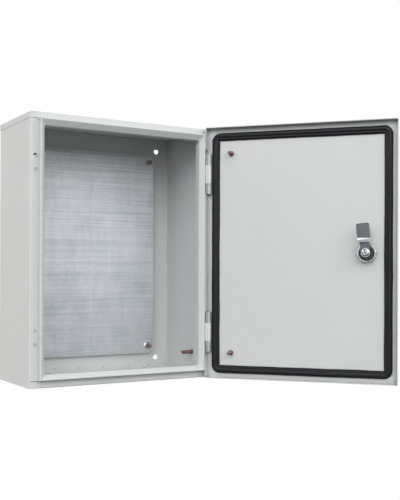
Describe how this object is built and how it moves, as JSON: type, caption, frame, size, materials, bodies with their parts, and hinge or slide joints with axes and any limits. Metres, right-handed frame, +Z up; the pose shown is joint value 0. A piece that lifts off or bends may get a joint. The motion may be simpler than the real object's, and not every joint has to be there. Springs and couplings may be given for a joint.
{
  "type": "steel wall enclosure",
  "caption": "Sheet-steel wall enclosure with a hinged sealed door, quarter-turn cam lock, gutter rim and galvanised mounting plate.",
  "frame": {"origin": "centre of the four wall fixing holes on the rear face, which is the wall plane", "axes": "+X to the right seen from the front, +Y out of the back into the wall, +Z up; the door stands open 131 degrees"},
  "size_m": [0.497, 0.3725, 0.4008],
  "materials": {
    "body_paint": "light grey powder coat, satin with a fine texture",
    "leaf_paint": "light grey powder coat, smooth satin",
    "galvanised": "galvanised sheet with fine horizontal streaks, semi-matt",
    "copper_plate": "copper-plated steel, satin",
    "zinc": "bright zinc plate",
    "hinge_zinc": "dull zinc, matt",
    "cam_zinc": "blue-grey zinc plate, satin",
    "lock_black": "black coated die casting, satin",
    "foam_black": "black closed-cell foam, skin finish",
    "plug_grey": "grey plastic, matt"
  },
  "bodies": {
    "body": {"body_wrap": "body_paint", "top_panel": "body_paint", "bottom_panel": "body_paint", "mounting_plate": "galvanised", "plate_studs": "copper_plate", "plate_spacers": "zinc", "plate_washers": "zinc", "plate_nuts": "zinc", "earth_stud": "copper_plate", "upper_body_leaf": "leaf_paint", "lower_body_leaf": "leaf_paint", "hinge_screws": "zinc", "rim_plugs": "plug_grey", "gland_plate": "galvanised", "gland_gasket": "foam_black", "gland_studs": "copper_plate", "gland_nuts": "zinc"},
    "door": {"door_panel": "body_paint", "door_gasket": "foam_black", "door_studs": "copper_plate", "upper_door_leaf": "hinge_zinc", "lower_door_leaf": "hinge_zinc", "upper_hinge_pin": "hinge_zinc", "lower_hinge_pin": "hinge_zinc", "lock_housing": "lock_black", "lock_seal": "foam_black", "lock_washer": "zinc", "lock_nut": "zinc"},
    "cam": {"lock_rotor": "zinc", "lock_cam": "cam_zinc", "cam_washer": "zinc", "cam_screw": "zinc"}
  },
  "joints": [
    {"name": "door_hinge", "type": "hinge", "parent": "body", "child": "door", "pos_m": [0.1461, -0.1462, 0], "axis": [0, 0, 1], "range_deg": [-131.5, 0]},
    {"name": "lock_turn", "type": "hinge", "parent": "door", "child": "cam", "pos_m": [0.3016, -0.34189, -0.001], "axis": [0.749, 0.6626, 0], "range_deg": [0, 90]}
  ]
}
